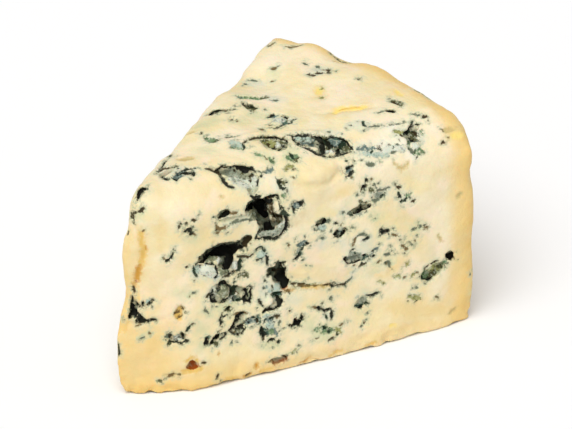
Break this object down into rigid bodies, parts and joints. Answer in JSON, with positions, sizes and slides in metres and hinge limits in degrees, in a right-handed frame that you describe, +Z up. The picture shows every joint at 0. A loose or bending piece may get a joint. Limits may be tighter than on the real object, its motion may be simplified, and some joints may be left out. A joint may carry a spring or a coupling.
{
  "type": "blue cheese wedge",
  "caption": "Wedge of soft blue-veined cheese cut from a wheel, lying on its flat rind, with a blunt tip, crumbly cut faces and open mould pockets.",
  "frame": {"origin": "middle of the base's bounding box, on the surface the wedge lies on", "axes": "+X from the blunt tip to the round rind along the wedge's middle, +Y towards the back cut face, +Z up"},
  "size_m": [0.0966, 0.0725, 0.0596],
  "materials": {
    "cheese_paste": "soft, moist cheese paste with blue-green mould veins"
  },
  "bodies": {
    "root": {"cheese_wedge": "cheese_paste"}
  },
  "joints": []
}
